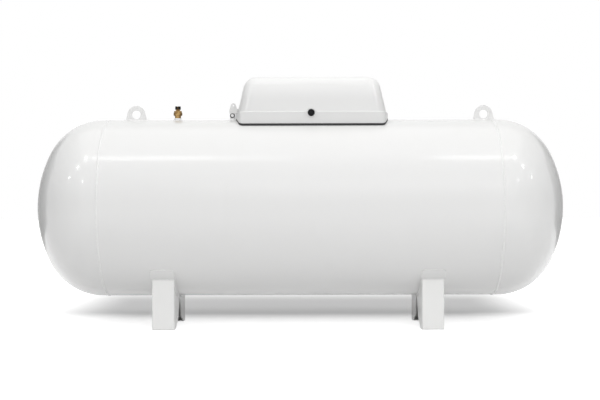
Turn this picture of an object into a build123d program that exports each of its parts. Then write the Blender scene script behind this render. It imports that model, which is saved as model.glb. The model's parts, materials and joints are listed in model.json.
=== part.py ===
from build123d import *
import os
from math import atan2, cos, degrees, radians, sqrt, tan

os.makedirs("parts", exist_ok=True)

# Horizontal pressure tank, in millimetres.
# X runs along the vessel, the front faces minus Y, and the floor is at Z = 0.

# Clearances
seat_gap = 0.3
running_gap = 0.05

# Vessel
vessel_radius = 500
vessel_length = 2980
vessel_wall = 6
head_depth = 370
head_flange = 32
knuckle_radius = 325
axis_height = 671
weld_width = 14
weld_rise = 2.5

# Legs: one folded sheet each, on a curved pad
leg_left_setback = 336
leg_right_setback = 363
leg_width = 122
leg_sheet = 5
leg_reach = 318
leg_bend = 9
leg_inner_bend = 4
foot_depth = 78
flange_corner_y = 92
flange_corner_z = 46
flange_corner_radius = 45
flange_heel_radius = 30
flange_gap = 30
anchor_hole_radius = 9
anchor_setback = 45
pad_thickness = 6
pad_margin = 3
pad_overrun = 8.5
pad_corner_radius = 15

# Lifting lugs
lug_left_setback = 150
lug_right_setback = 38
lug_thickness = 12
lug_base = 120
lug_radius = 51
lug_hole_radius = 25
lug_hole_height = 33
lug_edge = 1.5

# Bosses, each set into its own hole in the shell, four of them placed from the hood's middle
boss_inside = 8
boss_edge = 1.5
liquid_setback = 388
liquid_boss_radius = 22
liquid_boss_rise = 12
filler_offset = -257.5
filler_boss_radius = 34
filler_boss_rise = 26
gauge_offset = -97.5
gauge_boss_radius = 38
gauge_boss_rise = 20
service_offset = 82.5
service_boss_radius = 26
service_boss_rise = 26
relief_offset = 262.5
relief_boss_radius = 36
relief_boss_rise = 26

# Hood: a pressed cover with a dome on an upright skirt, its ends bowed outwards
hood_x = 67.5
hood_length = 867
hood_width = 400
hood_bow_radius = 728
hood_sheet = 2
hood_top_rise = 236.5
ledge_rise = 35.5
ledge_width = 8
skirt_corner_radius = 26
ledge_bend = 5
dome_foot_bend = 3
dome_slope = 13
dome_corner_radius = 76
dome_top_bend = 70
seal_height = 9
seal_outside = 8
seal_inside = 12

# Lock in the hood's front skirt
lock_offset = -5.5
lock_rise = 28
lock_boss_radius = 29
lock_boss_rise = 3
lock_boss_edge = 1.5
lock_face_radius = 19.5
lock_face_thickness = 9
lock_face_edge = 2
lock_barrel_radius = 11
lock_barrel_length = 22
lock_nut_radius = 16
lock_nut_thickness = 7
lock_plug_radius = 6.5
lock_neck_radius = 4
lock_neck_step = 0.5
lock_neck_end = 2
tongue_thickness = 3
tongue_width = 18
tongue_length = 40
keeper_start = 18
keeper_width = 30
keeper_plate = 4
keeper_behind = 6.5
keeper_above = 6
keeper_reach = 11
keeper_bend = 3

# Hinge at the hood's left end
hinge_reach = 20
hinge_rise = 24
hinge_pin_radius = 6
hinge_barrel_radius = 13
arm_width = 50
arm_back = 18
arm_height = 27
arm_corner_radius = 5
ear_gap = 5
ear_thickness = 8
ear_radius = 14
ear_base = 26
pin_head_radius = 9
pin_head_thickness = 4
tab_thickness = 8
tab_offset = 3.5
tab_width = 28
tab_base = 41
tab_rise = 35
tab_shoulder = 9
tab_hole_radius = 4.5

# Liquid valve and its cap
liquid_foot_radius = 17.5
liquid_foot_height = 14
liquid_hex_radius = 25
liquid_hex_height = 21
liquid_corner_cut = 4
liquid_collar_radius = 22
liquid_collar_height = 6
liquid_neck_radius = 11.5
liquid_neck_height = 10
liquid_cap_radius = 16.5
liquid_cap_height = 17
liquid_cap_edge = 3

# Filler valve and its cap
hex_corner_cut = 2.5
filler_hex_radius = 32
filler_hex_height = 26
filler_neck_radius = 23
filler_neck_height = 34
filler_cap_radius = 29
filler_cap_height = 28
filler_cap_ribs = 12
filler_rib_gap = 2.5
filler_cap_edge = 1

# Level gauge
gauge_flange = 64
gauge_flange_height = 12
gauge_dial_radius = 25
gauge_dial_height = 16
gauge_corner_radius = 8
gauge_dial_edge = 2

# Service valve and its handwheel
service_hex_radius = 26
service_hex_height = 24
service_body_radius = 20
service_body_height = 44
outlet_height = 44
outlet_radius = 13
outlet_reach = 52
bonnet_radius = 14
bonnet_height = 14
spindle_radius = 5
wheel_rise = 20
wheel_radius = 36
wheel_rim = 6
wheel_hub_radius = 12
wheel_hub_height = 14
wheel_spokes = 4
spoke_width = 7
spoke_thickness = 5

# Relief valve and its rain cap
relief_hex_radius = 35
relief_hex_height = 28
relief_body_radius = 28
relief_body_height = 62
rain_cap_radius = 31
rain_cap_height = 12
rain_cap_edge = 3

# Places that follow from the sizes above
cylinder_length = vessel_length - 2 * (head_depth + head_flange)
seam_x = cylinder_length / 2
leg_left_x = leg_left_setback - seam_x
leg_right_x = seam_x - leg_right_setback
lug_left_x = lug_left_setback - seam_x
lug_right_x = seam_x - lug_right_setback
liquid_x = liquid_setback - seam_x
filler_x = hood_x + filler_offset
gauge_x = hood_x + gauge_offset
service_x = hood_x + service_offset
relief_x = hood_x + relief_offset
top_z = axis_height + vessel_radius
pad_outer_radius = vessel_radius + seat_gap + pad_thickness
saddle_radius = pad_outer_radius + seat_gap
ledge_z = top_z + ledge_rise
hood_top_z = top_z + hood_top_rise
skirt_radius = vessel_radius + seal_height + seat_gap
hood_left = hood_x - hood_length / 2
slope_run = tan(radians(dome_slope))
lock_x = hood_x + lock_offset
lock_z = top_z + lock_rise
lock_seat_y = hood_width / 2 + lock_boss_rise
hinge_x = hood_left - hinge_reach
hinge_z = top_z + hinge_rise
liquid_base = top_z + liquid_boss_rise
filler_base = top_z + filler_boss_rise
gauge_base = top_z + gauge_boss_rise
service_base = top_z + service_boss_rise
relief_base = top_z + relief_boss_rise
liquid_neck_base = liquid_base + liquid_foot_height + liquid_hex_height
liquid_cap_base = liquid_neck_base + liquid_collar_height + liquid_neck_height
wheel_z = service_base + service_hex_height + service_body_height + bonnet_height + wheel_rise + seat_gap

bosses = {
    "liquid_boss": (liquid_x, liquid_boss_radius, liquid_boss_rise),
    "filler_boss": (filler_x, filler_boss_radius, filler_boss_rise),
    "gauge_boss": (gauge_x, gauge_boss_radius, gauge_boss_rise),
    "service_boss": (service_x, service_boss_radius, service_boss_rise),
    "relief_boss": (relief_x, relief_boss_radius, relief_boss_rise),
}


def save(solid, label):
    """Labels a finished piece and writes it as a STEP file of the same name."""
    solid.label = label
    export_step(solid, f"parts/{label}.step")


def vessel_cylinder(radius):
    """A long cylinder on the vessel's axis, used to cut what is welded to the vessel."""
    with BuildPart() as cylinder:
        with BuildSketch(Plane.YZ.offset(-vessel_length / 2)):
            with Locations((0, axis_height)):
                Circle(radius)
        extrude(amount=vessel_length)
    return cylinder.part


vessel_skin = vessel_cylinder(vessel_radius + seat_gap)


# Shell: a rolled cylinder with a hole for each boss
with BuildPart() as shell:
    with BuildSketch(Plane.YZ.offset(-seam_x)):
        with Locations((0, axis_height)):
            Circle(vessel_radius)
            Circle(vessel_radius - vessel_wall, mode=Mode.SUBTRACT)
    extrude(amount=cylinder_length)
    for boss_x, boss_radius, boss_rise in bosses.values():
        with BuildSketch(Plane.XY.offset(axis_height)):
            with Locations((boss_x, 0)):
                Circle(boss_radius + seat_gap)
        extrude(amount=vessel_radius + boss_rise, mode=Mode.SUBTRACT)
save(shell.part, "shell")


# Dished heads: a short straight flange, a knuckle arc and a crown arc, turned about the axis
knuckle_height = vessel_radius - knuckle_radius
crown_radius = (head_depth**2 + knuckle_height**2 - knuckle_radius**2) / (2 * (head_depth - knuckle_radius))
crown_centre = head_depth - crown_radius
head_tip = head_flange + head_depth
arc_join = degrees(atan2(knuckle_height, -crown_centre))


def make_head(label, side):
    """One dished head, on the right of the vessel for side 1 and on the left for side -1."""
    rim = Plane(origin=(side * seam_x, 0, axis_height), x_dir=(side, 0, 0), z_dir=(0, -side, 0))
    inner_knuckle = knuckle_radius - vessel_wall
    inner_crown = crown_radius - vessel_wall
    with BuildPart() as head:
        with BuildSketch(rim):
            with BuildLine():
                Line((0, vessel_radius), (head_flange, vessel_radius))
                CenterArc((head_flange, knuckle_height), knuckle_radius, arc_join, 90 - arc_join)
                CenterArc((head_flange + crown_centre, 0), crown_radius, 0, arc_join)
                Line((head_tip, 0), (head_tip - vessel_wall, 0))
                CenterArc((head_flange + crown_centre, 0), inner_crown, 0, arc_join)
                CenterArc((head_flange, knuckle_height), inner_knuckle, arc_join, 90 - arc_join)
                Line((head_flange, vessel_radius - vessel_wall), (0, vessel_radius - vessel_wall))
                Line((0, vessel_radius - vessel_wall), (0, vessel_radius))
            make_face()
        revolve(axis=Axis((0, 0, axis_height), (1, 0, 0)))
    save(head.part, label)


make_head("head_left", -1)
make_head("head_right", 1)


def make_girth_weld(label, side):
    """The raised weld bead that runs round the vessel where a head meets the shell."""
    bead_foot = vessel_radius + seat_gap
    half_width = weld_width / 2
    with BuildPart() as bead:
        with BuildSketch(Plane(origin=(side * seam_x, 0, axis_height), x_dir=(1, 0, 0), z_dir=(0, -1, 0))):
            with BuildLine():
                Line((-half_width, bead_foot), (half_width, bead_foot))
                ThreePointArc((-half_width, bead_foot), (0, bead_foot + weld_rise), (half_width, bead_foot))
            make_face()
        revolve(axis=Axis((0, 0, axis_height), (1, 0, 0)))
    save(bead.part, label)


make_girth_weld("girth_weld_left", -1)
make_girth_weld("girth_weld_right", 1)


# Pads: curved plates between the vessel and the legs
pad_start = degrees((flange_gap / 2) / vessel_radius)
web_angle = degrees(atan2(leg_reach, sqrt(saddle_radius**2 - leg_reach**2)))
pad_end = web_angle + pad_overrun


def make_pad(label, leg_x, side):
    """The pad of one leg, in front for side -1 and behind for side 1."""
    pad_width = leg_width + 2 * pad_margin
    first = -90 + side * pad_start
    sweep = side * (pad_end - pad_start)
    inner = vessel_radius + seat_gap
    with BuildPart() as pad:
        with BuildSketch(Plane.YZ.offset(leg_x - pad_width / 2)):
            with BuildLine():
                low = CenterArc((0, axis_height), inner, first, sweep)
                high = CenterArc((0, axis_height), pad_outer_radius, first, sweep)
                Line(low @ 0, high @ 0)
                Line(low @ 1, high @ 1)
            make_face()
        extrude(amount=pad_width)
        corners = pad.edges().filter_by(lambda edge: abs(edge.length - pad_thickness) < seat_gap / 2)
        fillet(corners, radius=pad_corner_radius)
    save(pad.part, label)


def make_leg(label, leg_x, side):
    """A leg folded from one sheet: an upright web, two arched flanges and a turned-in foot."""
    with BuildPart() as leg:
        with BuildSketch(Plane.YZ.offset(leg_x - leg_width / 2)):
            with BuildLine():
                Polyline(
                    (-leg_reach, axis_height),
                    (-leg_reach, 0),
                    (foot_depth - leg_reach, 0),
                    (-flange_corner_y, flange_corner_z),
                    (-flange_gap / 2, axis_height - vessel_radius),
                    (-flange_gap / 2, axis_height),
                    close=True,
                )
            make_face()
            heel = vertices().sort_by_distance((foot_depth - leg_reach, 0))[0]
            fillet(heel, radius=flange_heel_radius)
            corner = vertices().sort_by_distance((-flange_corner_y, flange_corner_z))[0]
            fillet(corner, radius=flange_corner_radius)
            with Locations((0, axis_height)):
                Circle(saddle_radius, mode=Mode.SUBTRACT)
        extrude(amount=leg_width)
        outer_bends = leg.edges().filter_by(Axis.Z).group_by(Axis.Y)[0]
        toe = leg.edges().group_by(Axis.Z)[0].filter_by(Axis.X).group_by(Axis.Y)[0]
        fillet(outer_bends + toe, radius=leg_bend)
        with BuildSketch(Plane.XY.offset(leg_sheet)):
            with Locations((leg_x, -leg_reach + leg_sheet)):
                Rectangle(leg_width - 2 * leg_sheet, leg_reach, align=(Align.CENTER, Align.MIN))
            inner_corners = vertices().group_by(Axis.Y)[0]
            fillet(inner_corners, radius=leg_inner_bend)
        extrude(amount=axis_height, mode=Mode.SUBTRACT)
        with BuildSketch(Plane.XY):
            with Locations((leg_x, -leg_reach + anchor_setback)):
                Circle(anchor_hole_radius)
        extrude(amount=leg_sheet, mode=Mode.SUBTRACT)
    solid = leg.part if side < 0 else mirror(leg.part, about=Plane.XZ, mode=Mode.PRIVATE)
    save(solid, label)


for end, leg_x in (("left", leg_left_x), ("right", leg_right_x)):
    for face, side in (("front", -1), ("rear", 1)):
        make_pad(f"pad_{face}_{end}", leg_x, side)
        make_leg(f"leg_{face}_{end}", leg_x, side)


# Room for the right girth weld, cut from the foot of the lug that stands across it
with BuildPart() as weld_room:
    with BuildSketch(Plane.YZ.offset(seam_x - weld_width / 2 - seat_gap)):
        with Locations((0, axis_height)):
            Circle(vessel_radius + seat_gap + weld_rise + seat_gap)
    extrude(amount=weld_width + 2 * seat_gap)


def make_lug(label, lug_x):
    """A lifting lug: an upright plate whose straight flanks meet a round head."""
    with BuildPart() as lug:
        with BuildSketch(Plane.XZ):
            with Locations((lug_x, top_z + lug_hole_height)):
                Circle(lug_radius)
            with Locations((lug_x, top_z + seat_gap)):
                Rectangle(lug_base, lug_edge, align=(Align.CENTER, Align.MIN))
            make_hull()
            with Locations((lug_x, top_z + seat_gap)):
                Rectangle(2 * lug_base, lug_base, align=(Align.CENTER, Align.MAX), mode=Mode.SUBTRACT)
            with Locations((lug_x, top_z + lug_hole_height)):
                Circle(lug_hole_radius, mode=Mode.SUBTRACT)
        extrude(amount=lug_thickness / 2, both=True)
        rims = lug.edges().filter_by(GeomType.CIRCLE)
        chamfer(rims, length=lug_edge)
        add(weld_room.part, mode=Mode.SUBTRACT)
    save(lug.part, label)


make_lug("lug_left", lug_left_x)
make_lug("lug_right", lug_right_x)


def make_boss(label, boss_x, boss_radius, boss_rise):
    """A round steel boss that stands in its hole and takes a valve on its flat top."""
    with BuildPart() as boss:
        with BuildSketch(Plane.XY.offset(top_z - vessel_wall - boss_inside)):
            with Locations((boss_x, 0)):
                Circle(boss_radius)
        extrude(amount=vessel_wall + boss_inside + boss_rise)
        chamfer(boss.faces().sort_by(Axis.Z)[-1].edges(), length=boss_edge)
    save(boss.part, label)


for label, (boss_x, boss_radius, boss_rise) in bosses.items():
    make_boss(label, boss_x, boss_radius, boss_rise)


def turned(centre_x, base_z, steps):
    """A turned body made of round steps, each given as its radius and its height."""
    with BuildPart() as body:
        level = base_z
        for radius, height in steps:
            with BuildSketch(Plane.XY.offset(level)):
                with Locations((centre_x, 0)):
                    Circle(radius)
            extrude(amount=height)
            level += height
    return body.part


def hexagon(centre_x, base_z, corner_radius, height, corner_cut):
    """A hexagonal body whose corners are turned down at both ends."""
    with BuildPart() as blank:
        with BuildSketch(Plane.XY.offset(base_z)):
            with Locations((centre_x, 0)):
                Circle(corner_radius)
        extrude(amount=height)
        chamfer(blank.edges().filter_by(GeomType.CIRCLE), length=corner_cut)
        with BuildSketch(Plane.XY.offset(base_z)):
            with Locations((centre_x, 0)):
                RegularPolygon(corner_radius, 6)
        extrude(amount=height, mode=Mode.INTERSECT)
    return blank.part


# Liquid valve: a brass check valve on the shell's top, with its dark cap
liquid_foot = turned(liquid_x, liquid_base, [(liquid_foot_radius, liquid_foot_height)])
liquid_hex = hexagon(
    liquid_x, liquid_base + liquid_foot_height, liquid_hex_radius, liquid_hex_height, liquid_corner_cut
)
liquid_neck = turned(
    liquid_x,
    liquid_neck_base,
    [(liquid_collar_radius, liquid_collar_height), (liquid_neck_radius, liquid_neck_height)],
)
with BuildPart() as liquid_valve:
    add(liquid_foot)
    add(liquid_hex)
    add(liquid_neck)
save(liquid_valve.part, "liquid_valve")

with BuildPart() as liquid_cap:
    with BuildSketch(Plane.XY.offset(liquid_cap_base)):
        with Locations((liquid_x, 0)):
            Circle(liquid_cap_radius)
    extrude(amount=liquid_cap_height)
    chamfer(liquid_cap.faces().sort_by(Axis.Z)[-1].edges(), length=liquid_cap_edge)
save(liquid_cap.part, "liquid_cap")


# Filler valve with a ribbed cap
filler_hex = hexagon(filler_x, filler_base, filler_hex_radius, filler_hex_height, hex_corner_cut)
filler_neck = turned(filler_x, filler_base + filler_hex_height, [(filler_neck_radius, filler_neck_height)])
with BuildPart() as filler_valve:
    add(filler_hex)
    add(filler_neck)
save(filler_valve.part, "filler_valve")

with BuildPart() as filler_cap:
    with BuildSketch(Plane.XY.offset(filler_base + filler_hex_height + filler_neck_height)):
        with Locations((filler_x, 0)):
            Circle(filler_cap_radius)
            with PolarLocations(filler_cap_radius, filler_cap_ribs):
                Circle(filler_rib_gap, mode=Mode.SUBTRACT)
    extrude(amount=filler_cap_height)
    chamfer(filler_cap.faces().sort_by(Axis.Z)[-1].edges(), length=filler_cap_edge)
save(filler_cap.part, "filler_cap")


# Level gauge: a flanged head with a raised round dial
with BuildPart() as level_gauge:
    with BuildSketch(Plane.XY.offset(gauge_base)):
        with Locations((gauge_x, 0)):
            RectangleRounded(gauge_flange, gauge_flange, gauge_corner_radius)
    extrude(amount=gauge_flange_height)
    with BuildSketch(Plane.XY.offset(gauge_base + gauge_flange_height)):
        with Locations((gauge_x, 0)):
            Circle(gauge_dial_radius)
    extrude(amount=gauge_dial_height)
    chamfer(level_gauge.faces().sort_by(Axis.Z)[-1].edges(), length=gauge_dial_edge)
save(level_gauge.part, "level_gauge")


# Service valve: a brass body with a side outlet, a spindle and a handwheel
service_hex = hexagon(service_x, service_base, service_hex_radius, service_hex_height, hex_corner_cut)
service_column = turned(
    service_x,
    service_base + service_hex_height,
    [
        (service_body_radius, service_body_height),
        (bonnet_radius, bonnet_height),
        (spindle_radius, wheel_rise),
    ],
)
with BuildPart() as service_valve:
    add(service_hex)
    add(service_column)
    with BuildSketch(Plane.XZ):
        with Locations((service_x, service_base + outlet_height)):
            Circle(outlet_radius)
    extrude(amount=-outlet_reach)
save(service_valve.part, "service_valve")

with BuildPart() as handwheel:
    with BuildSketch(Plane.XZ):
        with Locations((service_x + wheel_radius - wheel_rim, wheel_z + wheel_hub_height / 2)):
            RegularPolygon(wheel_rim, 8, rotation=360 / 16)
    revolve(axis=Axis((service_x, 0, 0), (0, 0, 1)))
    with BuildSketch(Plane.XY.offset(wheel_z)):
        with Locations((service_x, 0)):
            Circle(wheel_hub_radius)
    extrude(amount=wheel_hub_height)
    with BuildSketch(Plane.XY.offset(wheel_z + (wheel_hub_height - spoke_thickness) / 2)):
        with Locations((service_x, 0)):
            with PolarLocations(0, wheel_spokes):
                Rectangle(wheel_radius - wheel_rim, spoke_width, align=(Align.MIN, Align.CENTER))
    extrude(amount=spoke_thickness)
save(handwheel.part, "handwheel")


# Relief valve with a loose rain cap
relief_hex = hexagon(relief_x, relief_base, relief_hex_radius, relief_hex_height, hex_corner_cut)
relief_body = turned(relief_x, relief_base + relief_hex_height, [(relief_body_radius, relief_body_height)])
with BuildPart() as relief_valve:
    add(relief_hex)
    add(relief_body)
save(relief_valve.part, "relief_valve")

with BuildPart() as rain_cap:
    with BuildSketch(Plane.XY.offset(relief_base + relief_hex_height + relief_body_height)):
        with Locations((relief_x, 0)):
            Circle(rain_cap_radius)
    extrude(amount=rain_cap_height)
    chamfer(rain_cap.faces().sort_by(Axis.Z)[-1].edges(), length=rain_cap_edge)
save(rain_cap.part, "rain_cap")


def hood_plan(end_margin, side_margin):
    """The hood's outline from above, drawn in by the margins: straight sides and bowed ends."""
    bow_centre = hood_length / 2 - hood_bow_radius
    with BuildSketch() as plan:
        Rectangle(2 * hood_bow_radius, hood_width - 2 * side_margin)
        for end_centre in (-bow_centre, bow_centre):
            with Locations((end_centre, 0)):
                Circle(hood_bow_radius - end_margin, mode=Mode.INTERSECT)
    return plan.sketch


def hood_form(inset):
    """The hood as a closed form, with every face drawn in by the inset."""
    skirt_low = top_z - hood_width / 2
    dome_margin = ledge_width + inset / cos(radians(dome_slope)) - inset * slope_run
    with BuildPart() as form:
        with BuildSketch(Plane.XY.offset(ledge_z - inset)):
            with Locations((hood_x, 0)):
                add(hood_plan(dome_margin, dome_margin))
        extrude(amount=hood_top_rise - ledge_rise, taper=dome_slope)
        dome_corners = form.edges().group_by(Axis.Z)[1]
        fillet(dome_corners, radius=dome_corner_radius - inset)
        fillet(form.faces().sort_by(Axis.Z)[-1].edges(), radius=dome_top_bend - inset)
        with BuildSketch(Plane.XY.offset(skirt_low)):
            with Locations((hood_x, 0)):
                add(hood_plan(inset, inset))
            fillet(vertices(), radius=skirt_corner_radius - inset)
        extrude(amount=ledge_z - inset - skirt_low)
        ledge = form.faces().filter_by(Axis.Z).sort_by_distance((hood_x, 0, ledge_z - inset))[0]
        dome_foot = ledge.inner_wires()[0].edges()
        fillet(ledge.outer_wire().edges(), radius=ledge_bend - inset)
        fillet(dome_foot, radius=dome_foot_bend + inset)
        with BuildSketch(Plane.XZ.offset(lock_seat_y - inset)):
            with Locations((lock_x, lock_z)):
                Circle(lock_boss_radius - inset)
        extrude(amount=-2 * lock_boss_radius)
        rim = form.faces().sort_by(Axis.Y)[0].edges()
        fillet(rim, radius=lock_boss_edge)
    return form.part


# Hood: the pressed sheet, trimmed along the vessel's curve, with a hole for the lock
hood_outside = hood_form(0)
hood_inside = hood_form(hood_sheet)
skirt_trim = vessel_cylinder(skirt_radius)
with BuildPart() as hood:
    add(hood_outside)
    add(hood_inside, mode=Mode.SUBTRACT)
    add(skirt_trim, mode=Mode.SUBTRACT)
    with BuildSketch(Plane.XZ.offset(lock_seat_y)):
        with Locations((lock_x, lock_z)):
            Circle(lock_barrel_radius + seat_gap)
    extrude(amount=-2 * lock_boss_radius, mode=Mode.SUBTRACT)
save(hood.part, "hood")


# Rubber seal strip that lies on the vessel under the hood's edges
seal_skin = vessel_cylinder(vessel_radius + seal_height)
with BuildPart() as hood_seal:
    add(seal_skin)
    add(vessel_skin, mode=Mode.SUBTRACT)
    with BuildSketch(Plane.XY.offset(axis_height)):
        with Locations((hood_x, 0)):
            add(hood_plan(0, -seal_outside))
        fillet(vertices(), radius=skirt_corner_radius)
        with Locations((hood_x, 0)):
            add(hood_plan(seal_inside, seal_inside), mode=Mode.SUBTRACT)
    extrude(amount=vessel_length, mode=Mode.INTERSECT)
save(hood_seal.part, "hood_seal")


# Lock body: a round face in front of the skirt, a barrel through it and a nut behind it
with BuildPart() as lock_body:
    with BuildSketch(Plane.XZ.offset(lock_seat_y)):
        with Locations((lock_x, lock_z)):
            Circle(lock_face_radius)
    extrude(amount=lock_face_thickness)
    chamfer(lock_body.faces().sort_by(Axis.Y)[0].edges(), length=lock_face_edge)
    with BuildSketch(Plane.XZ.offset(lock_seat_y)):
        with Locations((lock_x, lock_z)):
            Circle(lock_barrel_radius)
    extrude(amount=-lock_barrel_length)
    with BuildSketch(Plane.XZ.offset(lock_seat_y - hood_sheet)):
        with Locations((lock_x, lock_z)):
            Circle(lock_nut_radius)
    extrude(amount=-lock_nut_thickness)
    with BuildSketch(Plane.XZ.offset(lock_seat_y + lock_face_thickness)):
        with Locations((lock_x, lock_z)):
            Circle(lock_plug_radius + running_gap)
    extrude(amount=-lock_face_thickness - lock_barrel_length, mode=Mode.SUBTRACT)
save(lock_body.part, "lock_body")

# Lock plug: turns in the barrel and carries the tongue on its neck
plug_back_y = lock_seat_y - lock_barrel_length - lock_neck_step
with BuildPart() as lock_plug:
    with BuildSketch(Plane.XZ.offset(lock_seat_y + lock_face_thickness)):
        with Locations((lock_x, lock_z)):
            Circle(lock_plug_radius)
    extrude(amount=-lock_face_thickness - lock_barrel_length - lock_neck_step)
    with BuildSketch(Plane.XZ.offset(plug_back_y)):
        with Locations((lock_x, lock_z)):
            Circle(lock_neck_radius)
    extrude(amount=-tongue_thickness - lock_neck_end)
save(lock_plug.part, "lock_plug")

# Lock tongue: a flat cam that hangs down when the lock is open
with BuildPart() as lock_tongue:
    with BuildSketch(Plane.XZ.offset(plug_back_y)):
        with Locations((lock_x, lock_z)):
            Circle(tongue_width / 2)
        with Locations((lock_x, lock_z - tongue_length + tongue_width / 2)):
            Circle(tongue_width / 2)
        make_hull()
        with Locations((lock_x, lock_z)):
            Circle(lock_neck_radius + running_gap, mode=Mode.SUBTRACT)
    extrude(amount=-tongue_thickness)
save(lock_tongue.part, "lock_tongue")

# Lock keeper: an upright plate on the vessel with a lip that the tongue turns under
keeper_face_y = plug_back_y - tongue_thickness - keeper_behind
keeper_top_z = lock_z + tongue_width / 2 + keeper_above + keeper_plate
with BuildPart() as lock_keeper:
    with BuildSketch(Plane.YZ.offset(lock_x + keeper_start)):
        with BuildLine():
            Polyline(
                (keeper_plate - keeper_face_y, axis_height),
                (keeper_plate - keeper_face_y, keeper_top_z),
                (-keeper_face_y - keeper_reach, keeper_top_z),
                (-keeper_face_y - keeper_reach, keeper_top_z - keeper_plate),
                (-keeper_face_y, keeper_top_z - keeper_plate),
                (-keeper_face_y, axis_height),
                close=True,
            )
        make_face()
        outer_bend = vertices().sort_by_distance((keeper_plate - keeper_face_y, keeper_top_z))[0]
        fillet(outer_bend, radius=keeper_bend)
    extrude(amount=keeper_width)
    add(vessel_skin, mode=Mode.SUBTRACT)
save(lock_keeper.part, "lock_keeper")


# Hinge ears: two upright plates on the vessel that hold the pin
ear_inner_y = arm_width / 2 + ear_gap
with BuildPart() as hinge_ears:
    for ear_y in (-ear_inner_y - ear_thickness, ear_inner_y):
        with BuildSketch(Plane.XZ.offset(-ear_y)):
            with Locations((hinge_x, hinge_z)):
                Circle(ear_radius)
            with Locations((hinge_x, top_z)):
                Rectangle(ear_base, ear_radius, align=(Align.CENTER, Align.MAX))
            make_hull()
            with Locations((hinge_x, hinge_z)):
                Circle(hinge_pin_radius + running_gap, mode=Mode.SUBTRACT)
        extrude(amount=-ear_thickness)
    add(vessel_skin, mode=Mode.SUBTRACT)
save(hinge_ears.part, "hinge_ears")

# Hinge pin: a rod through both ears with a low head at each end
pin_end_y = ear_inner_y + ear_thickness + seat_gap
with BuildPart() as hinge_pin:
    with BuildSketch(Plane.XZ.offset(-pin_end_y)):
        with Locations((hinge_x, hinge_z)):
            Circle(hinge_pin_radius)
    extrude(amount=2 * pin_end_y)
    with BuildSketch(Plane.XZ.offset(pin_end_y), Plane.XZ.offset(-pin_end_y - pin_head_thickness)):
        with Locations((hinge_x, hinge_z)):
            Circle(pin_head_radius)
    extrude(amount=pin_head_thickness)
save(hinge_pin.part, "hinge_pin")

# Hinge arm: a block on the hood's ledge, a barrel round the pin under it and an eye tab on top
arm_low_z = ledge_z + seat_gap
arm_top_z = arm_low_z + arm_height
dome_foot_x = hood_left + ledge_width - seat_gap
with BuildPart() as hinge_arm:
    with BuildSketch(Plane.XZ):
        with BuildLine():
            Polyline(
                (hinge_x - arm_back, arm_low_z),
                (dome_foot_x, arm_low_z),
                (dome_foot_x + arm_height * slope_run, arm_top_z),
                (hinge_x - arm_back, arm_top_z),
                close=True,
            )
        make_face()
        back_corners = vertices().group_by(Axis.X)[0]
        fillet(back_corners, radius=arm_corner_radius)
        foot_corner = vertices().sort_by_distance((dome_foot_x, arm_low_z))[0]
        chamfer(foot_corner, length=dome_foot_bend)
    extrude(amount=arm_width / 2, both=True)
    with BuildSketch(Plane.XZ):
        with Locations((hinge_x, hinge_z)):
            Circle(hinge_barrel_radius)
            Rectangle(2 * hinge_barrel_radius, arm_low_z - hinge_z, align=(Align.CENTER, Align.MIN))
    extrude(amount=arm_width / 2, both=True)
    with BuildSketch(Plane.XZ):
        with Locations((hinge_x + tab_offset, arm_top_z)):
            Rectangle(tab_base, tab_shoulder, align=(Align.CENTER, Align.CENTER))
        with Locations((hinge_x + tab_offset, arm_top_z + tab_rise - tab_width / 2)):
            Circle(tab_width / 2)
        make_hull()
        with Locations((hinge_x + tab_offset, arm_top_z + tab_rise - tab_width / 2)):
            Circle(tab_hole_radius, mode=Mode.SUBTRACT)
    extrude(amount=tab_thickness / 2, both=True)
    with BuildSketch(Plane.XZ):
        with Locations((hinge_x, hinge_z)):
            Circle(hinge_pin_radius + running_gap)
    extrude(amount=arm_width / 2, both=True, mode=Mode.SUBTRACT)
save(hinge_arm.part, "hinge_arm")
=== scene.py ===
# %% [markdown]
# # Dressing a horizontal pressure tank
# The imported model already has every solid of the tank in its right place, in metres.
# Loading it gives those solids as fixed objects, so this script only adds finishes, small
# details and the studio. The box of the bare model is kept first, and the floor is laid
# at its foot.

# %% Load the imported model
import json
from math import acos, asin, cos, pi, radians, sin, sqrt

import bmesh
import bpy
from mathutils import Matrix, Vector


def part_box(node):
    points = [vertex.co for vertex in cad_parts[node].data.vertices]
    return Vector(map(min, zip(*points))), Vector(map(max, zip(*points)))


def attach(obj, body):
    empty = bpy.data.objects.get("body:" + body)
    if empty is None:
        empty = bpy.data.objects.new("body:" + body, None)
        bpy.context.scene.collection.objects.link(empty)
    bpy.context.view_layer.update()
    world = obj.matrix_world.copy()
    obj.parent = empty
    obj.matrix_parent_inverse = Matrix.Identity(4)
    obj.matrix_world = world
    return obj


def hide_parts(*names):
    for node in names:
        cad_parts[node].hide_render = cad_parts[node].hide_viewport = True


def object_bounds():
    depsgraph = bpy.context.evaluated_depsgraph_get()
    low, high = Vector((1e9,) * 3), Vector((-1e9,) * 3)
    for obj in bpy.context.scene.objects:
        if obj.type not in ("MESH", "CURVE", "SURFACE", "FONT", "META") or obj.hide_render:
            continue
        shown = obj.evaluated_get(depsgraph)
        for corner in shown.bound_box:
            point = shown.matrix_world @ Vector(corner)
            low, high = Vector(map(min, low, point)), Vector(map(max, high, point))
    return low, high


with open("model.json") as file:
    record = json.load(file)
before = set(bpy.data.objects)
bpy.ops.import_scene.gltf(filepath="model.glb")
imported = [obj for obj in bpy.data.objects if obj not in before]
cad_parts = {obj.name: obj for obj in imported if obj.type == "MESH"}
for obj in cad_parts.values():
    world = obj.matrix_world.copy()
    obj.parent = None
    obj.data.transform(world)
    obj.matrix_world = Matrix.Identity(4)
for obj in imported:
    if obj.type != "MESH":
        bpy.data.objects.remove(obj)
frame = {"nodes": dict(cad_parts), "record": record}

cad_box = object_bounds()
nodes = frame["nodes"]
record = frame["record"]

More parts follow.
